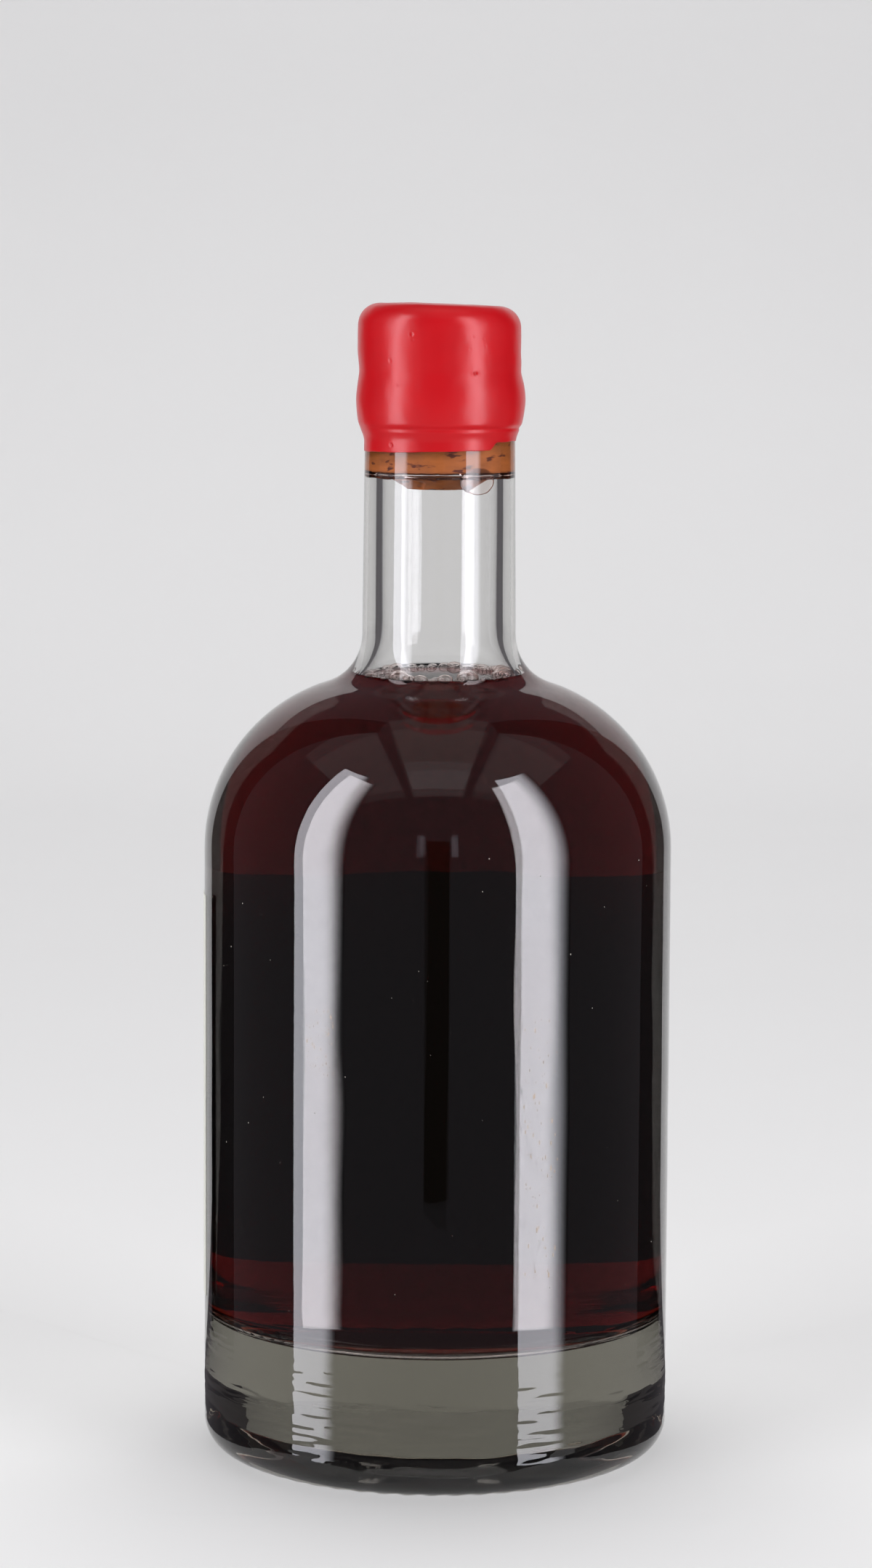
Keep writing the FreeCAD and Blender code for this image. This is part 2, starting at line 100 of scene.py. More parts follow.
class BottleSizes(bpy.types.PropertyGroup):
    """Sizes of the glass, the drink, the cork, the seal and the label."""

    heel_radius: length("Heel radius", "Rounding between the foot and the side", 5.8)
    foot_inner_radius: length("Foot ring", "Inner radius of the ring that the bottle stands on", 35.5)
    punt_rise: length("Punt", "Height of the hollow beneath the base", 5.5)
    punt_flat: length("Punt flat", "Radius of the flat middle of the hollow", 27)
    shoulder_height: length("Shoulder height", "Where the straight side ends", 112.4)
    shoulder_radius: length("Shoulder radius", "Rounding of the shoulder", 32)
    neck_fillet: length("Neck fillet", "Rounding between the shoulder and the neck", 9.5)
    neck_radius: length("Neck radius", "Radius of the neck beneath the lip", 13.75)
    neck_taper: tilt("Neck taper", "Lean of the neck's side", 0.55)
    lip_radius: length("Lip radius", "Radius of the lip ring", 14.5)
    lip_tall: length("Lip height", "Height of the lip ring", 9)
    lip_round: length("Lip rounding", "Rounding of the lip's outer edge", 0.6)
    floor_corner: length("Floor corner", "Rounding between the inner wall and the floor", 3.5)
    bore_radius: length("Bore radius", "Radius of the bore in the neck", 10.6)
    bore_fillet: length("Bore fillet", "Rounding between the bore and the inner shoulder", 18)
    mouth_round: length("Mouth rounding", "Rounding of the mouth's inner edge", 0.8)
    knurl_inner: length("Knurl start", "Inner radius of the slanted grooves", 33.5)
    knurl_outer: length("Knurl end", "Outer radius of the slanted grooves", 40.5)
    knurl_depth: length("Knurl depth", "Depth of the slanted grooves", 0.6)
    knurl_slant: tilt("Knurl slant", "Slant of the grooves", 36)
    knurl_count: bpy.props.IntProperty(
        name="Knurl count", description="Number of grooves", default=56, min=8
    )
    drink_reach: length("Drink reach", "How far the drink reaches into the glass wall", 0.15)
    coat_reach: length("Coat reach", "How far wax, cork and paper reach into what they cover", 0.05)
    seal_cover: length("Seal cover", "How far the wax's side stands out from the lip's upper edge", 1.0)
    seal_round: length("Seal rounding", "Rounding of the wax crown", 4.0)
    seal_bulge: length("Seal bulge", "How far the wax swells over the lip", 0.65)
    seal_crease: length("Seal crease", "How far the crease lies beneath the lip", 0.7)
    label_thickness: length("Label thickness", "Thickness of the paper", 0.15)
    label_start: tilt("Label start", "Where the paper begins, from the right towards the back", 17)
    label_end: tilt("Label end", "Where the paper ends, from the right towards the back", 190)


class BottleColours(bpy.types.PropertyGroup):
    """Colours of the finishes."""

    wax: shade("Wax", "Colour of the sealing wax", "#CC0C18")
    cork: shade("Cork", "Colour of the drink-soaked cork", "#94501E")
    cork_spots: shade("Cork spots", "Colour of the cork's pores", "#5A2412")
    paper: shade("Paper", "Colour of the label", "#E4E4DC")
    drink: shade("Drink", "What is left of white light after a short way through the drink", "#E4846E")
    dust: shade("Dust", "Colour of the specks of dust on the glass", "#A8A49C")
    finger_marks: shade("Finger marks", "Colour of the dry smears on the glass", "#C8B4A4")
    glass: shade("Glass", "What is left of white light after crossing the solid base", "#706E64")


# ---------------------------------------------------------------- outlines


def arc(centre, radius, start, end, count):
    """Points along an arc between two angles in degrees, both ends included."""
    angles = [math.radians(start + (end - start) * i / count) for i in range(count + 1)]
    return [(centre[0] + radius * math.cos(a), centre[1] + radius * math.sin(a)) for a in angles]


def run(start, end, count):
    """Points along a straight line, both ends included."""
    steps = [i / count for i in range(count + 1)]
    return [tuple(a + (b - a) * t for a, b in zip(start, end)) for t in steps]


def join(*parts):
    """One list of points from several, with the points that two parts share kept once."""
    points = []
    for part in parts:
        for point in part:
            if not points or math.dist(point, points[-1]) > 1e-6:
                points.append(point)
    return points


def heading(start, end):
    """The direction from one point to another, in degrees."""
    return math.degrees(math.atan2(end[1] - start[1], end[0] - start[0])) % 360


class Shape:
    """Centres and tangent points of the bottle's outline, worked out from the sizes."""

    def __init__(self, sizes):
        self.sizes = sizes
        self.body = GLASS_BOX[1].x
        self.top = GLASS_BOX[1].z
        self.inside = DRINK_BOX[1].x
        self.floor = DRINK_BOX[0].z
        self.level = DRINK_BOX[1].z
        self.shoulder = Vector((self.body - sizes.shoulder_radius, sizes.shoulder_height))
        self.inner_shoulder_radius = sizes.shoulder_radius - (self.body - self.inside)
        self.lip_foot = self.top - sizes.lip_tall
        self.neck_top = self.lip_foot - (sizes.lip_radius - sizes.neck_radius)
        self.neck_curve = self.touch_neck()
        across = sizes.bore_radius + sizes.bore_fillet
        reach = self.inner_shoulder_radius + sizes.bore_fillet
        rise = math.sqrt(reach**2 - (across - self.shoulder.x) ** 2)
        self.bore_curve = Vector((across, self.shoulder.y + rise))

    def touch_neck(self):
        """The centre of the fillet that touches the leaning neck and the shoulder."""
        sizes = self.sizes
        down = Vector((math.sin(sizes.neck_taper), -math.cos(sizes.neck_taper)))
        out = Vector((math.cos(sizes.neck_taper), math.sin(sizes.neck_taper)))
        start = Vector((sizes.neck_radius, self.neck_top)) + out * sizes.neck_fillet
        away = start - self.shoulder
        along = away.dot(down)
        far = away.length_squared - (sizes.shoulder_radius + sizes.neck_fillet) ** 2
        return start + down * (-along - math.sqrt(along**2 - far))

    def neck_radius_at(self, height):
        """The neck's outer radius at a height."""
        return self.sizes.neck_radius + (self.neck_top - height) * math.tan(self.sizes.neck_taper)

    def inner_side(self, reach=0.0):
        """The inner wall from the bore's foot to the floor's middle, set into the glass by reach."""
        sizes = self.sizes
        corner = (self.inside - sizes.floor_corner, self.floor + sizes.floor_corner)
        turn = heading(self.bore_curve, self.shoulder)
        wall = self.inside + reach
        return join(
            arc(self.bore_curve, sizes.bore_fillet - reach, 180, turn, 16),
            arc(self.shoulder, self.inner_shoulder_radius + reach, turn - 180, 0, 24),
            run((wall, self.shoulder.y), (wall, corner[1]), 20),
            arc(corner, sizes.floor_corner + reach, 0, -90, 10),
            run((corner[0], self.floor - reach), (0, self.floor - reach), 14),
        )

    def outer_side(self):
        """The outside from the lip down to the middle of the punt."""
        sizes = self.sizes
        turn = heading(self.neck_curve, self.shoulder)
        lip = (sizes.lip_radius - sizes.lip_round, self.top - sizes.lip_round)
        lip_foot, neck_top = (sizes.lip_radius, self.lip_foot), (sizes.neck_radius, self.neck_top)
        upright = 180 + math.degrees(sizes.neck_taper)
        neck_foot = arc(self.neck_curve, sizes.neck_fillet, upright, turn, 12)
        heel = (self.body - sizes.heel_radius, sizes.heel_radius)
        foot, flat, rise = sizes.foot_inner_radius, sizes.punt_flat, sizes.punt_rise
        rim = [radius for radius, _ in run((foot, 0), (flat, 0), 12)]
        return join(
            arc(lip, sizes.lip_round, 90, 0, 4),
            run((sizes.lip_radius, lip[1]), lip_foot, 4),
            run(lip_foot, neck_top, 2),
            run(neck_top, neck_foot[0], 26),
            neck_foot,
            arc(self.shoulder, sizes.shoulder_radius, turn - 180, 0, 30),
            run((self.body, self.shoulder.y), (self.body, self.floor), 24),
            run((self.body, self.floor), (self.body, heel[1]), 64),
            arc(heel, sizes.heel_radius, 0, -90, 16),
            run((heel[0], 0), (foot, 0), 9),
            [(radius, rise * (1 - smooth_step(flat, foot, radius))) for radius in rim],
            run((flat, rise), (0, rise), 12),
        )


# ---------------------------------------------------------------- small sums


def direction(azimuth, elevation):
    """The unit vector towards a place; azimuth 0 is the camera's side and positive is to its right."""
    a, e = math.radians(azimuth), math.radians(elevation)
    return Vector((math.sin(a) * math.cos(e), -math.cos(a) * math.cos(e), math.sin(e)))


def lump(x, y, z, scale, seed):
    """Smooth unevenness between about -1 and 1, its scale in metres."""
    return noise.noise(Vector((x / scale + seed, y / scale, z / scale)))


def smooth_step(low, high, value):
    """0 below low, 1 above high and a smooth rise between."""
    t = min(max((value - low) / (high - low), 0), 1)
    return t * t * (3 - 2 * t)


def bell(value):
    """1 at zero, fading smoothly to nothing on both sides."""
    return math.exp(-(value**2))


def mix(start, end, share):
    """A value between two others."""
    return start + (end - start) * share


# ---------------------------------------------------------------- node trees


def node(tree, kind, inputs=(), output=0, **settings):
    """Add a node, set it up, fill its sockets in order or by name, and give back one output."""
    added = tree.nodes.new(kind)
    for name, value in settings.items():
        setattr(added, name, value)
    named = inputs.items() if isinstance(inputs, dict) else enumerate(inputs)
    for name, value in named:
        for one in value if isinstance(value, list) else [value]:
            if isinstance(one, bpy.types.NodeSocket):
                tree.links.new(one, added.inputs[name])
            else:
                added.inputs[name].default_value = one
    return added.outputs[output] if added.outputs else None


def new_tree(name, inputs, sizes):
    """A Geometry Nodes tree with named inputs, its input sockets and a way to add nodes to it."""
    tree = bpy.data.node_groups.new(name, "GeometryNodeTree")
    for label, kind in {**inputs, **dict.fromkeys(sizes, "Float"), "Material": "Material"}.items():
        tree.interface.new_socket(name=label, in_out="INPUT", socket_type=f"NodeSocket{kind}")
    tree.interface.new_socket(name="Geometry", in_out="OUTPUT", socket_type="NodeSocketGeometry")
    return tree, tree.nodes.new("NodeGroupInput").outputs, partial(node, tree)


def finish_tree(tree, add, geometry, finish):
    """End a tree: smooth shading, real geometry and one material."""
    smooth = add("GeometryNodeSetShadeSmooth", {"Geometry": geometry})
    real = add("GeometryNodeRealizeInstances", {"Geometry": smooth})
    dressed = add("GeometryNodeSetMaterial", {"Geometry": real, "Material": finish})
    add("NodeGroupOutput", {"Geometry": dressed})
    return tree


def turned_tree():
    """Turn an outline about the upright axis, slant and groove the foot, and ripple the skin."""
    inputs = {"Outline": "Geometry", "Segments": "Int", "Columns Per Groove": "Int"}
    sizes = ("Ring Radius", "Groove Depth", "Ripple Scale", "Ripple Seed", "Chill Scale")
    tree, given, add = new_tree("turned_outline", inputs, sizes)
    outline = add("GeometryNodeMeshToCurve", {"Mesh": given["Outline"]})
    size = {"Resolution": given["Segments"], "Radius": given["Ring Radius"]}
    ring = add("GeometryNodeCurvePrimitiveCircle", size)
    column = {"Geometry": ring, "Name": "column", "Value": add("GeometryNodeInputIndex")}
    numbered = add("GeometryNodeStoreNamedAttribute", column, data_type="INT", domain="POINT")
    skin = add("GeometryNodeCurveToMesh", {"Curve": numbered, "Profile Curve": outline})
    closed = add("GeometryNodeMergeByDistance", {"Geometry": skin, "Distance": 1e-6})

    kinds = {"column": "INT", **dict.fromkeys(OUTLINE_NUMBERS, "FLOAT")}
    numbers = {
        name: add("GeometryNodeInputNamedAttribute", {"Name": name}, data_type=kind)
        for name, kind in kinds.items()
    }
    place = add("GeometryNodeInputPosition")
    turn = {"Vector": place, "Angle": numbers["slant"]}
    slanted = add("ShaderNodeVectorRotate", turn, rotation_type="Z_AXIS")
    turned = add("GeometryNodeSetPosition", {"Geometry": closed, "Position": slanted})

    # a groove is deepest on its middle column and shallow on the one at each side
    count = given["Columns Per Groove"]
    beat = add("ShaderNodeMath", [numbers["column"], count], operation="MODULO")
    rest = add("ShaderNodeMath", [count, beat], operation="SUBTRACT")
    away = add("ShaderNodeMath", [beat, rest], operation="MINIMUM")
    slope = add("ShaderNodeMath", [away, -0.65, 1.0], operation="MULTIPLY_ADD")
    deep = add("ShaderNodeMath", [slope, 0.0], operation="MAXIMUM")
    fading = add("ShaderNodeMath", [deep, numbers["groove"]], operation="MULTIPLY")
    groove = add("ShaderNodeMath", [fading, given["Groove Depth"]], operation="MULTIPLY")

    # slow waves that moulded glass always has
    pattern = {"Vector": place, "W": given["Ripple Seed"], "Scale": given["Ripple Scale"], "Detail": 1.0}
    uneven = add("ShaderNodeTexNoise", pattern, noise_dimensions="4D")
    swing = add("ShaderNodeMath", [uneven, 2.0, -1.0], operation="MULTIPLY_ADD")
    slow = add("ShaderNodeMath", [swing, numbers["ripple"]], operation="MULTIPLY")

    # level ridges that the cold mould leaves near the base, nine times as long as they are tall
    level = add("ShaderNodeVectorMath", {0: place, 1: (0.11, 0.11, 1.0)}, operation="MULTIPLY")
    ridges = add("ShaderNodeTexNoise", {"Vector": level, "Scale": given["Chill Scale"], "Detail": 1.0})
    ridge = add("ShaderNodeMath", [ridges, 2.0, -1.0], operation="MULTIPLY_ADD")
    wave = add("ShaderNodeMath", [ridge, numbers["chill"], slow], operation="MULTIPLY_ADD")
    shift = add("ShaderNodeMath", [wave, groove], operation="SUBTRACT")
    push = {0: add("GeometryNodeInputNormal"), "Scale": shift}
    offset = add("ShaderNodeVectorMath", push, operation="SCALE")
    rippled = add("GeometryNodeSetPosition", {"Geometry": turned, "Offset": offset})
    return finish_tree(tree, add, rippled, given["Material"])


def uneven_size(add, given, rarity):
    """A random size between the smallest and the largest; a high rarity makes large ones rare."""
    seed = {"Seed": given["Seed"]}
    chance = add("FunctionNodeRandomValue", seed, output="Value", data_type="FLOAT")
    uneven = add("ShaderNodeMath", [chance, rarity], operation="POWER")
    spread = add("ShaderNodeMath", [given["Largest"], given["Smallest"]], operation="SUBTRACT")
    return add("ShaderNodeMath", [uneven, spread, given["Smallest"]], operation="MULTIPLY_ADD")


def bubble_tree():
    """A ring of thin-walled bubbles of uneven size, half sunk in the drink's surface."""
    sizes = ("Ring Radius", "Level", "Smallest", "Largest", "Scatter", "Hollow", "Inset")
    tree, given, add = new_tree("bubble_ring", {"Count": "Int", "Seed": "Int"}, sizes)
    circle = {"Resolution": given["Count"], "Radius": given["Ring Radius"]}
    ring = add("GeometryNodeCurvePrimitiveCircle", circle)
    size = uneven_size(add, given, 1.6)
    reach = {"Min": (-1.0, -1.0, 0.0), "Max": (1.0, 1.0, 0.0), "Seed": given["Seed"]}
    jitter = add("FunctionNodeRandomValue", reach, output="Value", data_type="FLOAT_VECTOR")
    moved = add("ShaderNodeVectorMath", {0: jitter, "Scale": given["Scatter"]}, operation="SCALE")
    height = add("ShaderNodeMath", [size, 0.4, given["Level"]], operation="MULTIPLY_ADD")
    lifted = add("ShaderNodeCombineXYZ", {"Z": height})
    # larger bubbles keep further from the sloping glass
    inset = add("ShaderNodeMath", [size, given["Inset"]], operation="MULTIPLY")
    share = add("ShaderNodeMath", [inset, given["Ring Radius"]], operation="DIVIDE")
    outward = {0: add("GeometryNodeInputPosition"), "Scale": share}
    drawn = add("ShaderNodeVectorMath", outward, operation="SCALE")
    shifted = add("ShaderNodeVectorMath", [moved, lifted], operation="ADD")
    offset = add("ShaderNodeVectorMath", [shifted, drawn], operation="SUBTRACT")
    places = add("GeometryNodeSetPosition", {"Geometry": ring, "Offset": offset})

    outer = add("GeometryNodeMeshIcoSphere", {"Radius": 1.0, "Subdivisions": 4})
    inner = add("GeometryNodeMeshIcoSphere", {"Radius": given["Hollow"], "Subdivisions": 4})
    inward = add("GeometryNodeFlipFaces", {"Mesh": inner})
    shell = add("GeometryNodeJoinGeometry", {"Geometry": [outer, inward]})
    scale = add("ShaderNodeCombineXYZ", [size, size, size])
    bubbles = add("GeometryNodeInstanceOnPoints", {"Points": places, "Instance": shell, "Scale": scale})
    return finish_tree(tree, add, bubbles, given["Material"])


def speck_tree():
    """Tiny flat specks scattered over a surface and turned to lie on it."""
    inputs = {"Surface": "Geometry", "Seed": "Int"}
    sizes = ("Density", "Smallest", "Largest", "Stretch")
    tree, given, add = new_tree("scattered_specks", inputs, sizes)
    over = {"Mesh": given["Surface"], "Density": given["Density"], "Seed": given["Seed"]}
    points = add("GeometryNodeDistributePointsOnFaces", over, output="Points")
    size = uneven_size(add, given, 3.0)
    long = add("ShaderNodeMath", [size, given["Stretch"]], operation="MULTIPLY")
    thin = add("ShaderNodeMath", [size, 0.3], operation="MULTIPLY")
    copies = {
        "Points": points,
        "Instance": add("GeometryNodeMeshIcoSphere", {"Radius": 1.0, "Subdivisions": 2}),
        "Rotation": points.node.outputs["Rotation"],
        "Scale": add("ShaderNodeCombineXYZ", [size, long, thin]),
    }
    specks = add("GeometryNodeInstanceOnPoints", copies)
    return finish_tree(tree, add, specks, given["Material"])


# ---------------------------------------------------------------- meshes


def new_object(name, data):
    """An object at the origin, in the scene."""
    made = bpy.data.objects.new(name, data)
    bpy.context.scene.collection.objects.link(made)
    return made


def mesh_object(name, spots, faces, finish, smooth=True):
    """A mesh object with one material."""
    mesh = bpy.data.meshes.new(name)
    mesh.from_pydata(spots, [], faces)
    mesh.polygons.foreach_set("use_smooth", [smooth] * len(mesh.polygons))
    mesh.materials.append(finish)
    mesh.update()
    return new_object(name, mesh)


def grow(name, mesh, tree, inputs):
    """Run a tree on a mesh and keep the result as a plain mesh object."""
    made = new_object(name, mesh)
    modifier = made.modifiers.new(tree.name, "NODES")
    modifier.node_group = tree
    sockets = {item.name: item.identifier for item in tree.interface.items_tree if item.in_out == "INPUT"}
    for label, value in inputs.items():
        modifier[sockets[label]] = value
    made.update_tag()
    depsgraph = bpy.context.evaluated_depsgraph_get()
    result = bpy.data.meshes.new_from_object(made.evaluated_get(depsgraph))
    made.modifiers.clear()
    made.data = result
    result.name = name
    if not result.polygons:
        raise RuntimeError(f"{name} came out empty")
    for spare in ("column", *OUTLINE_NUMBERS):
        if spare in result.attributes:
            result.attributes.remove(result.attributes[spare])
    return made


def outline_mesh(name, points, ring_radius, numbers=()):
    """An outline as a chain of edges, laid out for sweeping round a ring, with its numbers."""
    mesh = bpy.data.meshes.new(name)
    places = [(radius - ring_radius, -height, 0) for radius, height in points]
    mesh.from_pydata(places, [(i, i + 1) for i in range(len(places) - 1)], [])
    for label, values in dict(numbers).items():
        mesh.attributes.new(label, "FLOAT", "POINT").data.foreach_set("value", values)
    return mesh


def lathe(name, section, segments, place, finish, closed=False):
    """A mesh from the rows of a section, each a pole or a ring; place gives a row's spot at an angle.

    The rows run down the outside, and a closed section joins its last row to its first.
    """
    spots, rings = [], []
    for row in section:
        count = 1 if row[0] == 0 else segments
        rings.append(range(len(spots), len(spots) + count))
        spots += [place(row, FULL_TURN * i / segments) for i in range(count)]
    faces = []
    for upper, lower in zip(rings, rings[1:] + (rings[:1] if closed else [])):
        for i in range(segments):
            j = (i + 1) % segments
            sides = ((upper, i), (lower, i), (lower, j), (upper, j))
            faces.append(list(dict.fromkeys(ring[k % len(ring)] for ring, k in sides)))
    return mesh_object(name, spots, faces, finish)


def pair_faces(count):
    """Faces that join a row of pairs of spots, one pair to the next."""
    return [[2 * i, 2 * i + 2, 2 * i + 3, 2 * i + 1] for i in range(count)]


def curved_strip(azimuths, radius, heights, columns):
    """Spots and faces of an upright strip round the axis, in pairs of a low and a high spot."""
    spots = []
    for column in range(columns + 1):
        way = direction(mix(*azimuths, column / columns), 0) * radius
        spots += [(way.x, way.y, height) for height in heights]
    return spots, pair_faces(columns)


def sheet(name, corner, size, finish):
    """A flat sheet, level or upright, from one corner and how far it runs right, back and up."""
    x, y, z = corner
    wide, deep, tall = size
    spots = [(x, y, z), (x + wide, y, z), (x + wide, y + deep, z + tall), (x, y + deep, z + tall)]
    return mesh_object(name, spots, [[0, 1, 2, 3]], finish)


def hide_from(thing, *ways):
    """Keep a thing out of some kinds of light path."""
    for way in ways:
        setattr(thing, f"visible_{way}", False)


# ---------------------------------------------------------------- finishes


def new_material(name):
    """An empty material and a way to add nodes to it."""
    made = bpy.data.materials.new(name)
    made.use_nodes = True
    made.node_tree.nodes.clear()
    return made, partial(node, made.node_tree)


def close_material(add, surface, **more):
    """End a material: one surface with these settings."""
    skin = add("ShaderNodeBsdfPrincipled", surface)
    add("ShaderNodeOutputMaterial", {"Surface": skin, **more})


def toned(tint, share=1.0):
    """A linear colour made darker or lighter."""
    return (*[min(part * share, 1) for part in tint[:3]], 1)


def patches(millimetres):
    """The noise scale whose patches are about this wide."""
    return 1 / (millimetres * MM)


def mottle(add, tint, shares, width, place=None, **pattern):
    """A noise whose patches have a width in millimetres, and a colour that it sways between two shares."""
    place = place or add("ShaderNodeTexCoord", output="Object")
    swing = add("ShaderNodeTexNoise", {"Vector": place, "Scale": patches(width), **pattern})
    tone = {"Factor": swing, 6: toned(tint, shares[0]), 7: toned(tint, shares[1])}
    return swing, add("ShaderNodeMix", tone, output=2, data_type="RGBA")


def make_clear_finish(name, ior, left, way):
    """A clear finish that dims light with distance; left is what remains of it after a way in metres."""
    made, add = new_material(name)
    losses = [-math.log(share) / way for share in left]
    density = max(losses) * 1.2
    kept = (*[1 - loss / density for loss in losses], 1.0)
    inside = add("ShaderNodeVolumeAbsorption", {"Color": kept, "Density": density})
    surface = {"Base Color": (1, 1, 1, 1), "Roughness": 0.0, "IOR": ior, "Transmission Weight": 1.0}
    close_material(add, surface, Volume=inside)
    return made


def make_glass_finish(colours, way):
    """Moulded flint glass: clear, with sharp reflections, and grey only across the solid base."""
    return make_clear_finish("clear flint glass", 1.52, colours.glass, way)


def make_wine_finish(colours):
    """Dark wine: clear, but so deep that little light crosses the bottle."""
    name = "deep red wine"
    return bpy.data.materials.get(name) or make_clear_finish(name, 1.345, colours.drink, 5 * MM)


def make_wax_finish(colours):
    """Dipped sealing wax: a satin sheen over a slightly cloudy, slightly see-through red."""
    made, add = new_material("satin sealing wax")
    place = add("ShaderNodeTexCoord", output="Object")
    # clouds, as in wax that cooled unevenly
    clouds, body = mottle(add, colours.wax, (0.78, 1), 12.5, place, Detail=3.0)
    # fine grain that breaks up the sheen
    grain = add("ShaderNodeTexNoise", {"Vector": place, "Scale": patches(0.714), "Detail": 2.0})
    relief = add("ShaderNodeBump", {"Strength": 0.12, "Distance": 0.05 * MM, "Height": grain})
    surface = {
        "Base Color": body,
        "Roughness": add("ShaderNodeMapRange", {"Value": clouds, "To Min": 0.27, "To Max": 0.34}),
        "IOR": 1.5,
        "Subsurface Weight": 0.15,
        "Subsurface Radius": (1.0, 0.25, 0.15),
        "Subsurface Scale": 0.8 * MM,
        "Normal": relief,
    }
    close_material(add, surface)
    return made


def make_cork_finish(colours):
    """Natural cork soaked by the drink: warm brown, streaked, with dark pores."""
    made, add = new_material("drink-soaked cork")
    place = add("ShaderNodeTexCoord", output="Object")
    # growth bands, squeezed along the height
    stretch = add("ShaderNodeMapping", {"Vector": place, "Scale": (1.0, 1.0, 2.6)})
    bands, body = mottle(add, colours.cork, (0.45, 2.2), 5.88, stretch, Detail=6.0)
    # pores about 2 mm across, lying flat: only the peaks of the noise
    pores = add("ShaderNodeTexNoise", {"Vector": stretch, "Scale": patches(3.03), "Detail": 3.0})
    spots = add("ShaderNodeMapRange", {"Value": pores, "From Min": 0.59, "From Max": 0.66})
    # a darker band where the shank meets the bevel, fading out within 0.8 mm
    height = add("ShaderNodeSeparateXYZ", [place], output=2)
    line = add("ShaderNodeMath", [height, CORK_BOX[0].z + 2.9 * MM], operation="SUBTRACT")
    away = add("ShaderNodeMath", [line], operation="ABSOLUTE")
    bevel_line_fade = {"Value": away, "From Max": 0.8 * MM, "To Min": 0.6, "To Max": 0.0}
    bevel_line_dark = add("ShaderNodeMapRange", bevel_line_fade, interpolation_type="SMOOTHSTEP")
    dark = add("ShaderNodeMath", [spots, bevel_line_dark], operation="MAXIMUM")
    pores_and_band_tone = {"Factor": dark, 6: body, 7: toned(colours.cork_spots)}
    spotted = add("ShaderNodeMix", pores_and_band_tone, output=2, data_type="RGBA")
    relief = add("ShaderNodeBump", {"Strength": 0.5, "Distance": 0.3 * MM, "Height": bands})
    close_material(add, {"Base Color": spotted, "Roughness": 0.55, "Normal": relief})
    return made


def make_paper_finish(colours):
    """Uncoated off-white label paper: dull, with short fibres that mottle it."""
    made, add = new_material("uncoated label paper")
    # fibres, drawn a little coarser than real ones so that they show
    fibres, body = mottle(add, colours.paper, (0.9, 1), 0.667, Detail=4.0, Distortion=1.5)
    relief = add("ShaderNodeBump", {"Strength": 0.3, "Distance": 0.1 * MM, "Height": fibres})
    close_material(add, {"Base Color": body, "Roughness": 0.85, "Normal": relief})
    return made


def make_matt_finish(name, full, mottle_width):
    """A matt finish with a faint mottle whose width is in millimetres, for paper, cloth and dust."""
    made, add = new_material(name)
    _, body = mottle(add, full, (0.985, 1), mottle_width, Detail=2.0)
    close_material(add, {"Base Color": body, "Roughness": 0.9, "Specular IOR Level": 0.2})
    return made


def make_glow_finish(name, strength, tint, soft_side=None):
    """A lit panel for glass and wax to mirror; soft_side is the share of its width that fades out."""
    made, add = new_material(name)
    level = strength
    if soft_side:
        across = add("ShaderNodeAttribute", output="Fac", attribute_name="across")
        fade = {"Value": across, "From Max": soft_side, "To Max": strength}
        level = add("ShaderNodeMapRange", fade, interpolation_type="SMOOTHSTEP")
    glow = add("ShaderNodeEmission", {"Color": colour(tint), "Strength": level})
    add("ShaderNodeOutputMaterial", {"Surface": glow})
    return made


# ---------------------------------------------------------------- pieces


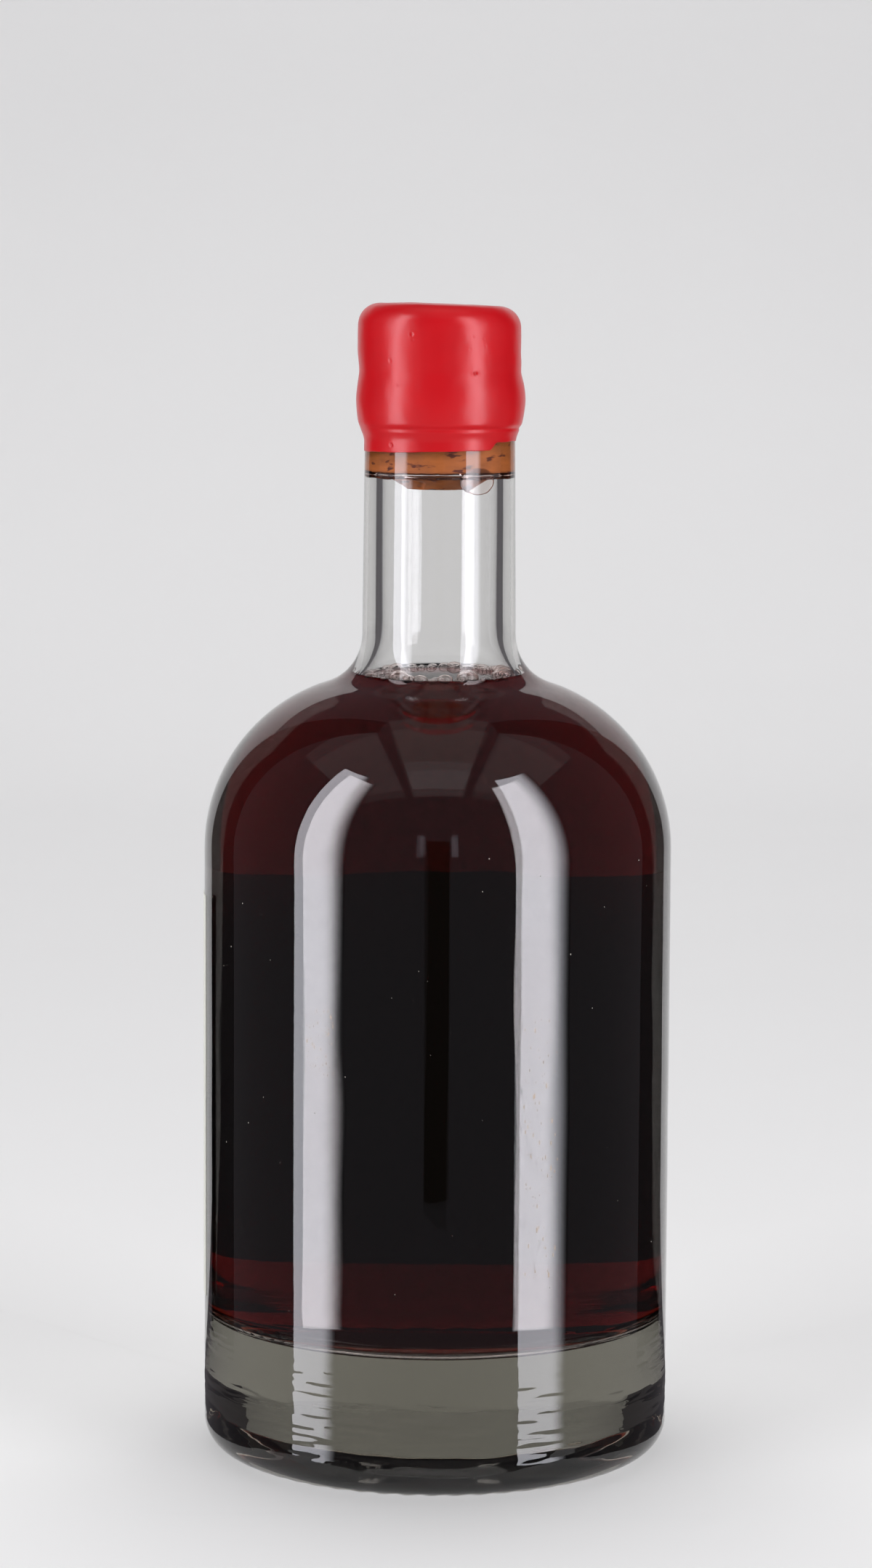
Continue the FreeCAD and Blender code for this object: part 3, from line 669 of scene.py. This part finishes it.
class GlassOperator(bpy.types.Operator):
    """Thick glass bottle with a heavy base, a shallow punt and a knurled foot"""

    bl_idname = "bottle.glass"
    bl_label = "Glass"

    # heights in millimetres: the slow waves on the body and on the neck, and the ridges by the base
    OUTER_WAVES, INNER_WAVES, RIDGES = (0.05, 0.02), (0.1, 0.03), 0.065

    def execute(self, context):
        sizes = context.scene.bottle_sizes
        shape = Shape(sizes)
        mouth = (sizes.bore_radius + sizes.mouth_round, shape.top - sizes.mouth_round)
        bore = run((sizes.bore_radius, shape.bore_curve.y), (sizes.bore_radius, mouth[1]), 26)
        inside = join(shape.inner_side()[::-1], bore, arc(mouth, sizes.mouth_round, 180, 90, 4))
        points = join(inside, shape.outer_side())
        numbers = self.numbers(shape, points, len(points) - len(shape.outer_side()))
        # the waves are about 22 mm long, and the ridges about 1.3 mm tall
        inputs = {
            "Ring Radius": shape.body,
            "Segments": sizes.knurl_count * SEGMENTS_PER_GROOVE,
            "Columns Per Groove": SEGMENTS_PER_GROOVE,
            "Groove Depth": sizes.knurl_depth,
            "Ripple Scale": patches(22.222),
            "Ripple Seed": 3.0,
            "Chill Scale": patches(1.316),
            "Material": make_glass_finish(context.scene.bottle_colours, 2 * shape.body),
        }
        outline = outline_mesh("glass_outline", points, shape.body, numbers)
        piece = grow("glass_bottle", outline, turned_tree(), inputs)
        # clear glass lets nearly all the light through, so the drink and the paper cast the shadow
        hide_from(piece, "shadow")
        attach(piece, "root")
        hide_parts("bottle")
        return {"FINISHED"}

    def numbers(self, shape, points, outside):
        """How far each point of the outline is slanted, grooved, rippled and ridged."""
        sizes = shape.sizes
        start, end, heel = sizes.knurl_inner, sizes.knurl_outer, sizes.heel_radius
        middle, slope, edge = (start + end) / 2, math.tan(sizes.knurl_slant), 0.5 * MM
        rows = []
        for place, (radius, height) in enumerate(points):
            neck = smooth_step(shape.level, shape.level + 20 * MM, height)
            if place < outside:
                rows.append((0.0, 0.0, mix(*self.INNER_WAVES, neck) * MM, 0.0))
                continue
            along = min(max(radius, start), end)
            twist, groove = math.asin((along - middle) * slope / along), 0.0
            if height < heel:
                twist *= smooth_step(0.6 * start, start, radius)
                groove = smooth_step(start - edge, start + edge, radius)
                groove *= 1 - smooth_step(end - 4 * edge, end, radius)
            else:
                twist *= 1 - smooth_step(heel, sizes.shoulder_height, height)
            base = 1 - smooth_step(shape.floor - 4 * MM, shape.floor + 4 * MM, height)
            ridge = self.RIDGES * MM * base * smooth_step(2 * MM, 6 * MM, height)
            rows.append((twist, groove, mix(*self.OUTER_WAVES, neck) * MM, ridge))
        return zip(OUTLINE_NUMBERS, zip(*rows))


class DrinkOperator(bpy.types.Operator):
    """Dark wine from the floor up to its level in the shoulder, with a small rise at the glass"""

    bl_idname = "bottle.drink"
    bl_label = "Drink"

    def execute(self, context):
        sizes = context.scene.bottle_sizes
        shape = Shape(sizes)
        rise, flat, steepness = 0.9 * MM, 0.7, 9
        top = shape.level + rise
        side = [point for point in shape.inner_side(sizes.drink_reach) if point[1] < top]
        # shares of the radius, closest where the surface creeps up the glass
        creep = (0, 0.55, 0.75, 0.86, 0.93, 0.97)
        climb = [rise * max(share - flat, 0) ** 2 * steepness for share in creep]
        surface = [(side[0][0] * share, shape.level + up) for share, up in zip(creep, climb)]
        inputs = {
            "Ring Radius": shape.body,
            "Segments": 200,
            "Material": make_wine_finish(context.scene.bottle_colours),
        }
        outline = outline_mesh("drink_outline", join(surface, side), shape.body)
        piece = grow("drink", outline, turned_tree(), inputs)
        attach(piece, "root")
        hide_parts("wine")
        return {"FINISHED"}


class BubblesOperator(bpy.types.Operator):
    """Rings of thin bubbles that cling to the glass round the drink's surface"""

    bl_idname = "bottle.bubbles"
    bl_label = "Bubbles"

    # name, count and seed, then in millimetres: distance from the glass, smallest, largest, scatter
    RINGS = (
        ("bubble_ring", 38, 5, 0.0, 0.6, 2.0, 0.15),
        ("bubble_ring_inner", 30, 11, 3.6, 0.35, 1.1, 0.6),
    )
    # the hollow's share of a bubble, and how many of its radii it keeps from the glass
    HOLLOW, INSET = 0.86, 1.6

    def execute(self, context):
        shape = Shape(context.scene.bottle_sizes)
        tree = bubble_tree()
        edge = min(shape.inner_side(), key=lambda point: abs(point[1] - shape.level))[0]
        for name, count, seed, away, smallest, largest, scatter in self.RINGS:
            inputs = {
                "Ring Radius": edge - away * MM,
                "Level": shape.level,
                "Count": count,
                "Smallest": smallest * MM,
                "Largest": largest * MM,
                "Scatter": scatter * MM,
                "Hollow": self.HOLLOW,
                "Inset": self.INSET,
                "Seed": seed,
                "Material": make_wine_finish(context.scene.bottle_colours),
            }
            piece = grow(name, bpy.data.meshes.new(name), tree, inputs)
            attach(piece, "root")
        return {"FINISHED"}


class DropsOperator(bpy.types.Operator):
    """Drink that hangs on the bore's wall beneath the cork: a drop and a thin ring"""

    bl_idname = "bottle.drops"
    bl_label = "Drops"

    # the ring's section in millimetres: depth from the wall, and height about where the bevel starts
    RING = ((0, -0.8), (0.2, -0.35), (0.35, -0.1), (0, 0.4))
    BEVEL_HEIGHT = 2.8 * MM
    DROP_AZIMUTH, DROP_HEIGHT = 36.5, 1.7 * MM
    HALF_WIDE, HALF_TALL, DEEP = 3.5 * MM, 2.4 * MM, 0.25 * MM

    def execute(self, context):
        sizes = context.scene.bottle_sizes
        self.wall = sizes.bore_radius + sizes.coat_reach
        wine = make_wine_finish(context.scene.bottle_colours)
        ring = [(self.wall - depth * MM, height * MM) for depth, height in self.RING]
        film = lathe("wet_ring", ring, 160, self.ring_spot, wine, closed=True)
        ball = arc((0, 0), 1, 90, -90, 24)
        ball = [(0, 1), *ball[1:-1], (0, -1)]
        drop = lathe("hanging_drop", ball, 48, self.drop_spot, wine)
        for piece in (film, drop):
            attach(piece, "root")
        return {"FINISHED"}

    def ring_spot(self, row, angle):
        """A spot of the thin ring, which sags unevenly."""
        across, along = math.cos(angle), math.sin(angle)
        sag = 1 + 0.35 * noise.noise(Vector((across * 3, along * 3, 7)))
        radius = mix(self.wall, row[0], sag)
        return (radius * across, radius * along, CORK_BOX[0].z + self.BEVEL_HEIGHT + row[1] * sag)

    def drop_spot(self, row, angle):
        """A spot of the drop: a ball pressed flat on the wall, which bulges into the bore."""
        across, depth, up = row[0] * math.cos(angle), -row[0] * math.sin(angle), row[1]
        out = direction(self.DROP_AZIMUTH, 0)
        side = Vector((-out.y, out.x, 0))
        flat = math.copysign(math.sqrt(1 - (1 - depth**2) ** 4), depth)
        uneven = 1 + 0.06 * noise.noise(Vector((across * 2, depth * 2, up * 2)))
        spot = out * self.wall + side * across * self.HALF_WIDE * uneven
        spot = spot.normalized() * (self.wall + flat * self.DEEP * (0.1 if depth > 0 else 1))
        spot.z = CORK_BOX[0].z + self.DROP_HEIGHT + up * self.HALF_TALL * uneven
        return tuple(spot)


class CorkOperator(bpy.types.Operator):
    """Natural cork stopper whose bevelled shank shows beneath the wax"""

    bl_idname = "bottle.cork"
    bl_label = "Cork"

    def execute(self, context):
        sizes = context.scene.bottle_sizes
        foot, top, lip = CORK_BOX[0].z, CORK_BOX[1].z, GLASS_BOX[1].z
        head = sizes.lip_radius - sizes.lip_round
        shank = sizes.bore_radius + sizes.coat_reach
        head_round, edge = 3 * MM, 0.4 * MM
        bevel_foot, bevel_top = shank - 4.4 * MM, foot + 2.8 * MM
        # from here down the cork shows, and its rows lie close together
        bare = foot + 12 * MM
        section = join(
            run((0, top), (head - head_round, top), 4),
            arc((head - head_round, top - head_round), head_round, 90, 0, 6),
            run((head, top - head_round), (head, lip), 3),
            run((head, lip), (sizes.bore_radius + sizes.mouth_round, lip), 2),
            run((shank, lip - sizes.mouth_round), (shank, bare), 2),
            run((shank, bare), (shank, bevel_top + edge), 44),
            arc((shank - edge, bevel_top + edge), edge, 0, -55, 3),
            run((shank - 0.25 * MM, bevel_top), (bevel_foot, foot + edge / 2), 22),
            run((bevel_foot - edge / 2, foot), (0, foot), 26),
        )

        def place(row, angle):
            """A spot of the cork; the bevel and the foot are pitted where pores were cut open."""
            radius, height = row
            x, y = radius * math.cos(angle), radius * math.sin(angle)
            if height > bevel_top + 0.3 * MM:
                return (x, y, height)
            pore = max(lump(x, y, height, 1.3 * MM, 4) - 0.25, 0) * 0.9 * MM
            grain = lump(x, y, height, 0.5 * MM, 9) * 0.05 * MM
            share = max(radius - pore + grain, 0) / radius if radius else 1
            sink = max(pore - grain, 0) if radius < bevel_foot else 0
            return (x * share, y * share, height + sink)

        finish = make_cork_finish(context.scene.bottle_colours)
        piece = lathe("cork_stopper", section, 200, place, finish)
        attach(piece, "root")
        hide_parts("stopper")
        return {"FINISHED"}


class WaxOperator(bpy.types.Operator):
    """Sealing wax dipped over the cork, the lip and the top of the neck, with pits and an uneven edge"""

    bl_idname = "bottle.wax"
    bl_label = "Wax seal"

    # places of the larger pits on the front: across, height, radius and depth in millimetres
    PITS = (
        (6.3, 199.9, 0.42, 0.22),
        (-5.2, 206.9, 0.34, 0.2),
        (-5.1, 205.9, 0.24, 0.12),
        (-9.1, 202.1, 0.3, 0.14),
        (-7.6, 197.7, 0.3, 0.12),
        (-8.8, 186.9, 0.34, 0.2),
        (5.8, 206.8, 0.26, 0.12),
        (7.8, 206.3, 0.2, 0.1),
        (8.1, 205.0, 0.2, 0.1),
        (8.9, 203.9, 0.18, 0.08),
        (-0.6, 208.4, 0.16, 0.08),
        (5.4, 204.4, 0.22, 0.08),
    )

    def execute(self, context):
        self.sizes = sizes = context.scene.bottle_sizes
        self.shape = shape = Shape(sizes)
        self.crease = shape.lip_foot - sizes.seal_crease
        self.waist = shape.top + 0.4 * MM
        self.top = SEAL_BOX[1].z - 0.15 * MM
        self.side = sizes.lip_radius - sizes.lip_round + sizes.seal_cover
        self.corner = sizes.seal_round
        finish = make_wax_finish(context.scene.bottle_colours)
        piece = lathe("wax_coat", self.section(), 432, self.place, finish)
        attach(piece, "root")
        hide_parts("wax_seal")
        return {"FINISHED"}

    def section(self):
        """Rows down the outer skin and back up along what it covers: radius, height and kind.

        A skirt row's height is its share of the way from the crease to the lower edge, and an edge
        row holds its offsets from the neck and from that edge.
        """
        shape, reach, top = self.shape, self.sizes.coat_reach, CORK_BOX[1].z
        flat, bend = self.side - self.corner, self.top - self.corner
        neck, lip = self.sizes.neck_radius - reach, self.sizes.lip_radius - reach
        head = lip - self.sizes.lip_round
        parts = {
            "crown": join(
                run((0, self.top), (flat, self.top), 34), arc((flat, bend), self.corner, 90, 0, 22)
            ),
            "side": run((flat, bend), (flat, self.crease), 74)[1:],
            "skirt": [(flat, share / 20) for share in range(1, 21)],
            "edge": [(0.08 * MM, -0.05 * MM), (-reach, -0.07 * MM)],
            "inside": [
                (neck, shape.neck_top),
                (lip, shape.lip_foot),
                (lip, shape.top - self.sizes.lip_round),
                (head, shape.top),
                (head, top - 3 * MM),
                (head - 3 * MM, top - reach),
                (0, top - reach),
            ],
        }
        return [(*point, kind) for kind, points in parts.items() for point in points]

    def dip_line(self, across, angle):
        """Height of the lower edge: a slant from left to right with one step."""
        low = SEAL_BOX[0].z + 0.15 * MM
        slant = 0.5 * MM * (across + 14 * MM) / (23.5 * MM)
        step = 1.35 * MM * smooth_step(9.6 * MM, 11.2 * MM, across)
        wander = 0.16 * MM * noise.noise(Vector((math.cos(angle) * 4, math.sin(angle) * 4, 2)))
        return low + slant + step + wander

    def place(self, row, angle):
        """The spot of a row at an angle, with the swelling, lumps and pits of the outer skin."""
        radius, height, kind = row
        across, along = math.cos(angle), math.sin(angle)
        if kind == "inside":
            return (radius * across, radius * along, height)
        low = self.dip_line(self.side * across, angle)
        if kind == "edge":
            radius += self.shape.neck_radius_at(low)
            return (radius * across, radius * along, low + height)
        if kind == "skirt":
            height = mix(self.crease, low, height)
        if kind == "crown":
            out = self.crown_normal(radius, across, along)
        else:
            radius, out = self.skin(height, across), Vector((across, along, 0))
        # the crown leans a little to the left and sinks to the right
        x, y = radius * across, radius * along
        x -= 0.2 * MM * smooth_step(self.waist, self.waist + 4 * MM, height)
        lumps = 0.11 * lump(x, y, height, 7 * MM, 1) + 0.03 * lump(x, y, height, 2.2 * MM, 5)
        spot = Vector((x, y, height)) + out * lumps * MM - out * self.pit(x, y, height)
        right = smooth_step(-8 * MM, 13 * MM, x)
        spot.z -= 0.45 * MM * right * smooth_step(self.waist, self.top - self.corner, height)
        if kind == "crown":
            spot.z -= self.dent(x, y)
        return tuple(spot)

    def skin(self, height, across):
        """Radius beneath the crown: swollen over the lip, then drawn in past a faint crease."""
        radius = self.side
        drop = (self.waist - height) / (self.waist - self.crease)
        if 0 < drop < 1:
            swell = math.sin(math.pi * drop) ** 1.2
            radius += self.sizes.seal_bulge * swell * (0.85 + 0.15 * across)
        radius -= 0.14 * MM * (1 + across) / 2 * bell((height - self.waist) / (1.6 * MM))
        thin = self.shape.neck_radius_at(height) + 0.12 * MM
        drawn = smooth_step(self.crease - 2.6 * MM, self.crease + 1.2 * MM, height)
        line = bell((height - self.crease) / (0.35 * MM)) * smooth_step(-1, -0.2, across)
        return mix(thin, radius, drawn) - 0.2 * MM * line

    def crown_normal(self, radius, across, along):
        """The way the rounded crown faces."""
        reach = max(radius - (self.side - self.corner), 0) / self.corner
        return Vector((across * reach, along * reach, math.sqrt(max(1 - reach**2, 0))))

    def dent(self, x, y):
        """Depth of the sunk bubble in the crown, with its raised rim."""
        away = math.hypot(x + 5.4 * MM, y + 1.5 * MM) / (1.5 * MM)
        return 0.38 * MM * bell(away) ** 1.6 - 0.14 * MM * bell((away - 1.25) / 0.32)

    def pit(self, x, y, height):
        """Depth of the pits that burst bubbles left on the front, each with a fine raised rim."""
        depth = 0
        for across, up, radius, deep in self.PITS if y <= 0 else ():
            away = math.hypot(x - across * MM, height - up * MM) / (radius * MM)
            if away < 2.5:
                depth += deep * MM * (bell(away) ** 2 - 0.35 * bell((away - 1.2) / 0.35))
        return depth


class LabelOperator(bpy.types.Operator):
    """Bare paper label glued round the back, whose edge shows at one side"""

    bl_idname = "bottle.label"
    bl_label = "Label"

    def execute(self, context):
        sizes = context.scene.bottle_sizes
        body = GLASS_BOX[1].x
        outer, inner = body + sizes.label_thickness, body - sizes.coat_reach
        columns, rows = 220, 90
        heights = [mix(LABEL_BOX[0].z, LABEL_BOX[1].z, row / rows) for row in range(rows + 1)]
        section = [(outer, height) for height in heights] + [(inner, height) for height in heights[::-1]]
        count = len(section)
        spots, faces = [], []
        for column in range(columns + 1):
            angle = mix(sizes.label_start, sizes.label_end, column / columns)
            for skin, height in section:
                soft = 0.02 * MM * noise.noise(Vector((angle * 9, height / (5 * MM), 1)))
                radius = skin + (soft if skin == outer else 0)
                spots.append((radius * math.cos(angle), radius * math.sin(angle), height))
        for start in range(0, columns * count, count):
            for k in range(count):
                n = (k + 1) % count
                faces.append([start + k, start + count + k, start + count + n, start + n])
        last = columns * count
        for row in range(rows):
            end = [row, row + 1, count - 2 - row, count - 1 - row]
            faces += [end, [last + spot for spot in end[::-1]]]
        finish = make_paper_finish(context.scene.bottle_colours)
        piece = mesh_object("paper_label", spots, faces, finish, smooth=False)
        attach(piece, "root")
        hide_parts("label")
        return {"FINISHED"}


class DustOperator(bpy.types.Operator):
    """Specks of dust on the front of the glass and dry finger marks at two places"""

    bl_idname = "bottle.dust"
    bl_label = "Dust"

    # name, azimuths in degrees, heights and sizes in millimetres, count, stretch and seed
    PATCHES = (
        ("dust_specks", (-75, 75), (27, 118), (0.03, 0.13), 60, 1.3, 4),
        ("finger_marks_left", (-33, -25), (76, 88), (0.03, 0.1), 70, 4.0, 8),
        ("finger_marks_right", (21, 30), (40, 88), (0.03, 0.14), 120, 4.0, 15),
    )

    def execute(self, context):
        colours, body = context.scene.bottle_colours, GLASS_BOX[1].x
        tree = speck_tree()
        # pale grey lint, dull enough to show against dark drink
        dust = make_matt_finish("dry dust", colours.dust, 0.333)
        # dried grease, which turns the clear glass faintly milky
        smear = make_matt_finish("dried skin grease", colours.finger_marks, 0.333)
        for name, azimuths, heights, sizes, count, stretch, seed in self.PATCHES:
            low, high = [height * MM for height in heights]
            area = math.radians(azimuths[1] - azimuths[0]) * body * (high - low)
            inputs = {
                "Density": count / area,
                "Smallest": sizes[0] * MM,
                "Largest": sizes[1] * MM,
                "Stretch": stretch,
                "Seed": seed,
                "Material": dust if name == "dust_specks" else smear,
            }
            spots, faces = curved_strip(azimuths, body, (low, high), 40)
            patch = bpy.data.meshes.new(name)
            patch.from_pydata(spots, [], faces)
            piece = grow(name, patch, tree, inputs)
            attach(piece, "root")
        return {"FINISHED"}


# ---------------------------------------------------------------- stage


class StageOperator(bpy.types.Operator):
    """Pale floor and backdrop, soft boxes, flags, a dim ceiling, lamps and the camera"""

    bl_idname = "bottle.stage"
    bl_label = "Studio"

    def execute(self, context):
        self.paper()
        self.cards()
        self.boards()
        self.lamps()
        self.world(context.scene)
        self.camera(context.scene)
        context.scene.view_settings.view_transform = "Standard"
        # enough for light to cross the glass, the drink and the bubbles
        context.scene.cycles.max_bounces = 24
        context.scene.cycles.transmission_bounces = 24
        return {"FINISHED"}

    def paper(self):
        """Pale paper under the bottle and up behind it, on a wide table and before a round wall."""
        # studio paper: an even white without sheen that takes a soft shadow
        finish = make_matt_finish("pale matt paper", colour("#F2F2F2"), 83.3)
        near, far, bend, top = 0.045, 1.3, 0.3, 0.95
        line = join(
            run((near, 0), (far - bend, 0), 2),
            arc((far - bend, bend), bend, -90, 0, 12),
            run((far, bend), (far, top), 10),
        )
        # the paper widens away from the bottle, so dark sides show through the glass beside it
        narrow, spread = 0.04, math.tan(math.radians(43))
        halves = [max(narrow, 0.01 + (y - narrow) * spread) for y, _ in line]
        spots = [(side * half, y, z) for half, (y, z) in zip(halves, line) for side in (1, -1)]
        foot, table_half, drop = 0.05, 1.4, 0.02 * MM
        table_size = (2 * table_half, 2 * table_half, 0)
        table = sheet("table", (-table_half, -table_half, -drop), table_size, finish)
        hide_from(table, "glossy", "transmission")
        mesh_object("paper_sweep", spots, pair_faces(len(line) - 1), finish)
        sheet("paper_under", (-foot, -foot, 0), (2 * foot, foot + near, 0), finish)
        wall = self.card("round_wall", finish, (-180, 180), (-6, 60), 1.38)
        wall.visible_camera = True
        hide_from(wall, "glossy", "transmission")

    def card(self, name, finish, azimuths, elevations, distance):
        """A curved upright card that only reflections and glass show; elevations are from the body."""
        columns, middle = 12, 0.1
        heights = [middle + distance * math.tan(math.radians(rise)) for rise in elevations]
        card = mesh_object(name, *curved_strip(azimuths, distance, heights, columns), finish)
        shares = [1 - column / columns for column in range(columns + 1) for _ in heights]
        card.data.attributes.new("across", "FLOAT", "POINT").data.foreach_set("value", shares)
        hide_from(card, "camera", "diffuse", "shadow")
        return card

    def cards(self):
        """Two upright soft boxes at the camera's sides, and black flags close beside the bottle."""
        # cloth lit from behind: a smooth glow that fades out at the right
        soft = make_glow_finish("soft box", 6.8, "#F6F6FF", soft_side=0.35)
        for name, azimuths in (("soft_box_left", (-72, -48)), ("soft_box_right", (40, 66))):
            self.card(name, soft, azimuths, (-22, 52), 0.7)
        # black cloth, which darkens the edges of the glass
        flag = make_matt_finish("black cloth", colour("#050505"), 83.3)
        for name, azimuths in (("flag_left", (-128, -101)), ("flag_right", (101, 128))):
            hide_from(self.card(name, flag, azimuths, (-40, 72), 0.12), "transmission")

    def boards(self):
        """The dim ceiling in four parts, and what stands behind the camera."""
        # dull lit panels: faint pink and blue greys that glass and wax mirror
        near = make_glow_finish("ceiling before the bottle", 0.42, "#FFF8FC")
        over = make_glow_finish("ceiling above the bottle", 0.28, "#FFF4F4")
        side = make_glow_finish("ceiling at the sides", 0.25, "#FFF4F8")
        dark = make_glow_finish("dark camera stand", 0.035, "#FFE8D8")
        window = make_glow_finish("small window", 0.5, "#F4F0FF")
        high, behind = 1.3, -0.86
        boards = (
            ("ceiling_near", near, (-0.3, -1.0, high), (0.6, 0.55, 0)),
            ("ceiling_over", over, (-0.3, -0.45, high), (0.6, 0.8, 0)),
            ("ceiling_left", side, (-1.2, -1.0, high), (0.79, 1.35, 0)),
            ("ceiling_right", side, (0.41, -1.0, high), (0.79, 1.35, 0)),
            ("camera_stand", dark, (-0.09, behind, -0.12), (0.175, 0, 0.48)),
            ("window_left", window, (-0.15, behind, 0.2), (0.05, 0, 0.22)),
            ("window_right", window, (0.1, behind, 0.2), (0.05, 0, 0.22)),
        )
        for name, finish, corner, size in boards:
            board = sheet(name, corner, size, finish)
            hide_from(board, "camera", "diffuse", "shadow")

    def lamps(self):
        """Area lamps that light the matt surfaces to a plain level."""
        body, floor = Vector((0, 0, 0.12)), Vector((0, 0.25, 0))
        # name, what it is aimed at, the way to it, distance, width and power
        places = (
            ("lamp_left", body, direction(-52, 12), 1.0, 0.5, 6.0),
            ("lamp_right", body, direction(52, 12), 1.0, 0.5, 6.0),
            ("lamp_top", floor, Vector((0, 0.1, 1.0)).normalized(), 1.7, 1.5, 19.0),
        )
        for name, aim, way, distance, size, power in places:
            data = bpy.data.lights.new(name, "AREA")
            data.shape, data.size, data.energy = "SQUARE", size, power
            lamp = new_object(name, data)
            lamp.location = aim + way * distance
            lamp.rotation_euler = (-way).to_track_quat("-Z", "Y").to_euler()
            hide_from(lamp, "glossy", "transmission", "camera")

    def world(self, scene):
        """A dim room all round."""
        world = bpy.data.worlds.new("dim room")
        world.use_nodes = True
        world.node_tree.nodes.clear()
        add = partial(node, world.node_tree)
        glow = add("ShaderNodeBackground", {"Color": (0.97, 0.9, 1.0, 1), "Strength": 0.1})
        add("ShaderNodeOutputWorld", {"Surface": glow})
        scene.world = world

    def camera(self, scene):
        """A long lens a little above the shoulder, tilted down."""
        away, height, aside = 0.81, 0.2164, -0.0009
        down, roll = 6.5, -0.31
        data = bpy.data.cameras.new("camera")
        data.lens, data.sensor_width = 101.4, 36
        data.clip_start, data.clip_end = 0.05, 20
        camera = new_object("camera", data)
        camera.location = (aside, -away, height)
        camera.rotation_euler = (math.radians(90 - down), math.radians(roll), 0)
        scene.camera = camera


# ---------------------------------------------------------------- add-on


class BottlePanel(bpy.types.Panel):
    """Sizes, colours and the steps that build the bottle"""

    bl_idname = "VIEW3D_PT_bottle"
    bl_label = "Wine bottle"
    bl_space_type = "VIEW_3D"
    bl_region_type = "UI"
    bl_category = "Bottle"

    def draw(self, context):
        for group in (context.scene.bottle_sizes, context.scene.bottle_colours):
            for name in group.bl_rna.properties.keys():
                if name not in ("rna_type", "name"):
                    self.layout.prop(group, name)
        for step in STEPS:
            self.layout.operator(step.bl_idname)


STEPS = (
    GlassOperator,
    DrinkOperator,
    BubblesOperator,
    DropsOperator,
    CorkOperator,
    WaxOperator,
    LabelOperator,
    DustOperator,
    StageOperator,
)
CLASSES = (BottleSizes, BottleColours, *STEPS, BottlePanel)


def register():
    """Register the classes and put the settings on the scene."""
    for one in CLASSES:
        bpy.utils.register_class(one)
    bpy.types.Scene.bottle_sizes = bpy.props.PointerProperty(type=BottleSizes)
    bpy.types.Scene.bottle_colours = bpy.props.PointerProperty(type=BottleColours)


def unregister():
    """Take the settings off the scene and unregister the classes."""
    del bpy.types.Scene.bottle_colours
    del bpy.types.Scene.bottle_sizes
    for one in reversed(CLASSES):
        bpy.utils.unregister_class(one)


def main():
    """Build every piece and the studio."""
    register()
    for step in STEPS:
        group, name = step.bl_idname.split(".")
        getattr(getattr(bpy.ops, group), name)()


if __name__ == "__main__":
    main()
